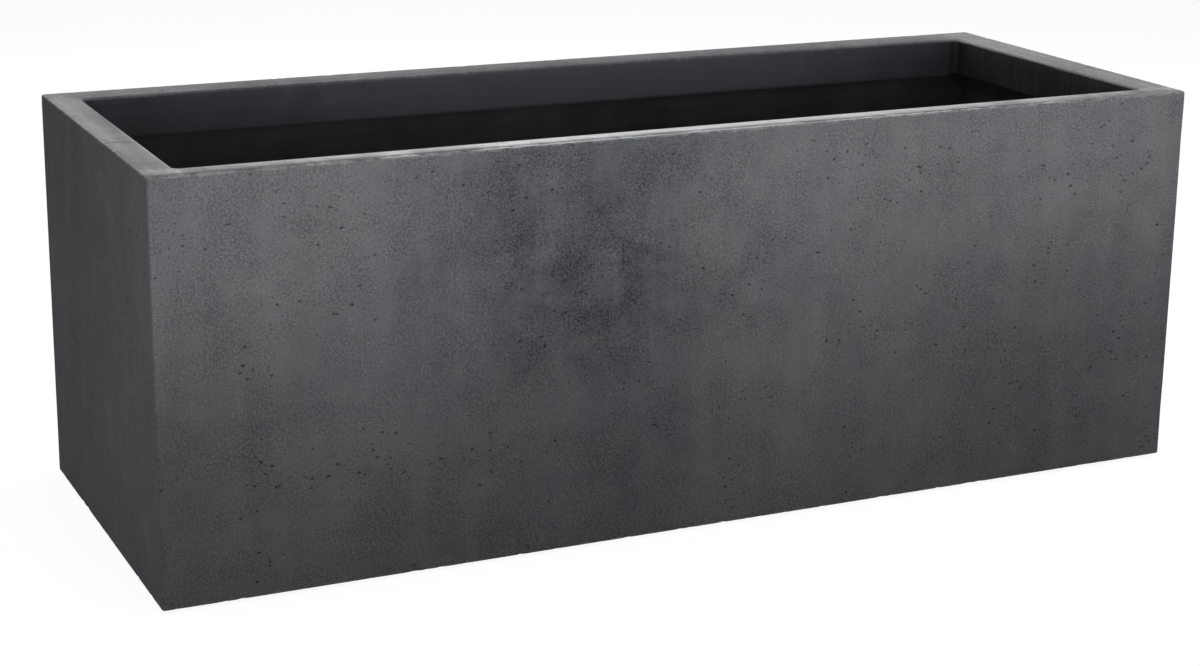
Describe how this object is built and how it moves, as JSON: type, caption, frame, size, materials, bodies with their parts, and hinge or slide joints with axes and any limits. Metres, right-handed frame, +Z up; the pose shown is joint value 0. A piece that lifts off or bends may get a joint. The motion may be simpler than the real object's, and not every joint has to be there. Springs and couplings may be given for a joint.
{
  "type": "rectangular planter",
  "caption": "Long rectangular floor planter in dark cast fibre cement with a flat folded rim, an open planting space and plugged drains in the base.",
  "frame": {"origin": "middle of the footprint, on the floor", "axes": "+X along the length to the right, +Y from the front face to the back face, +Z up"},
  "size_m": [1, 0.375, 0.365],
  "materials": {
    "cast_fibre_cement": "matt, mottled, with fine pores and a few pinholes",
    "galvanised_steel": "satin, zinc coated",
    "zinc_plated_steel": "satin, zinc plated",
    "black_rubber": "matt",
    "dark_plastic": "matt, moulded"
  },
  "bodies": {
    "planter": {"angle_screws": "zinc_plated_steel", "base_cleat_back": "cast_fibre_cement", "base_cleat_front": "cast_fibre_cement", "base_cleat_left": "cast_fibre_cement", "base_cleat_right": "cast_fibre_cement", "base_panel": "cast_fibre_cement", "corner_angle_back_left": "galvanised_steel", "corner_angle_back_right": "galvanised_steel", "corner_angle_front_left": "galvanised_steel", "corner_angle_front_right": "galvanised_steel", "drain_nut_left": "dark_plastic", "drain_nut_right": "dark_plastic", "drain_sleeve_left": "dark_plastic", "drain_sleeve_right": "dark_plastic", "foot_back_left": "black_rubber", "foot_back_middle": "black_rubber", "foot_back_right": "black_rubber", "foot_front_left": "black_rubber", "foot_front_middle": "black_rubber", "foot_front_right": "black_rubber", "foot_screws": "zinc_plated_steel", "rim_back": "cast_fibre_cement", "rim_front": "cast_fibre_cement", "rim_splice_left": "cast_fibre_cement", "rim_splice_right": "cast_fibre_cement", "wall_back": "cast_fibre_cement", "wall_front": "cast_fibre_cement", "wall_left": "cast_fibre_cement", "wall_right": "cast_fibre_cement"},
    "drain_plug_left": {"drain_plug_left": "black_rubber"},
    "drain_plug_right": {"drain_plug_right": "black_rubber"}
  },
  "joints": [
    {"name": "drain_plug_left_lift", "type": "slide", "parent": "planter", "child": "drain_plug_left", "axis": [0, 0, 1], "range_m": [0, 0.06]},
    {"name": "drain_plug_right_lift", "type": "slide", "parent": "planter", "child": "drain_plug_right", "axis": [0, 0, 1], "range_m": [0, 0.06]}
  ]
}
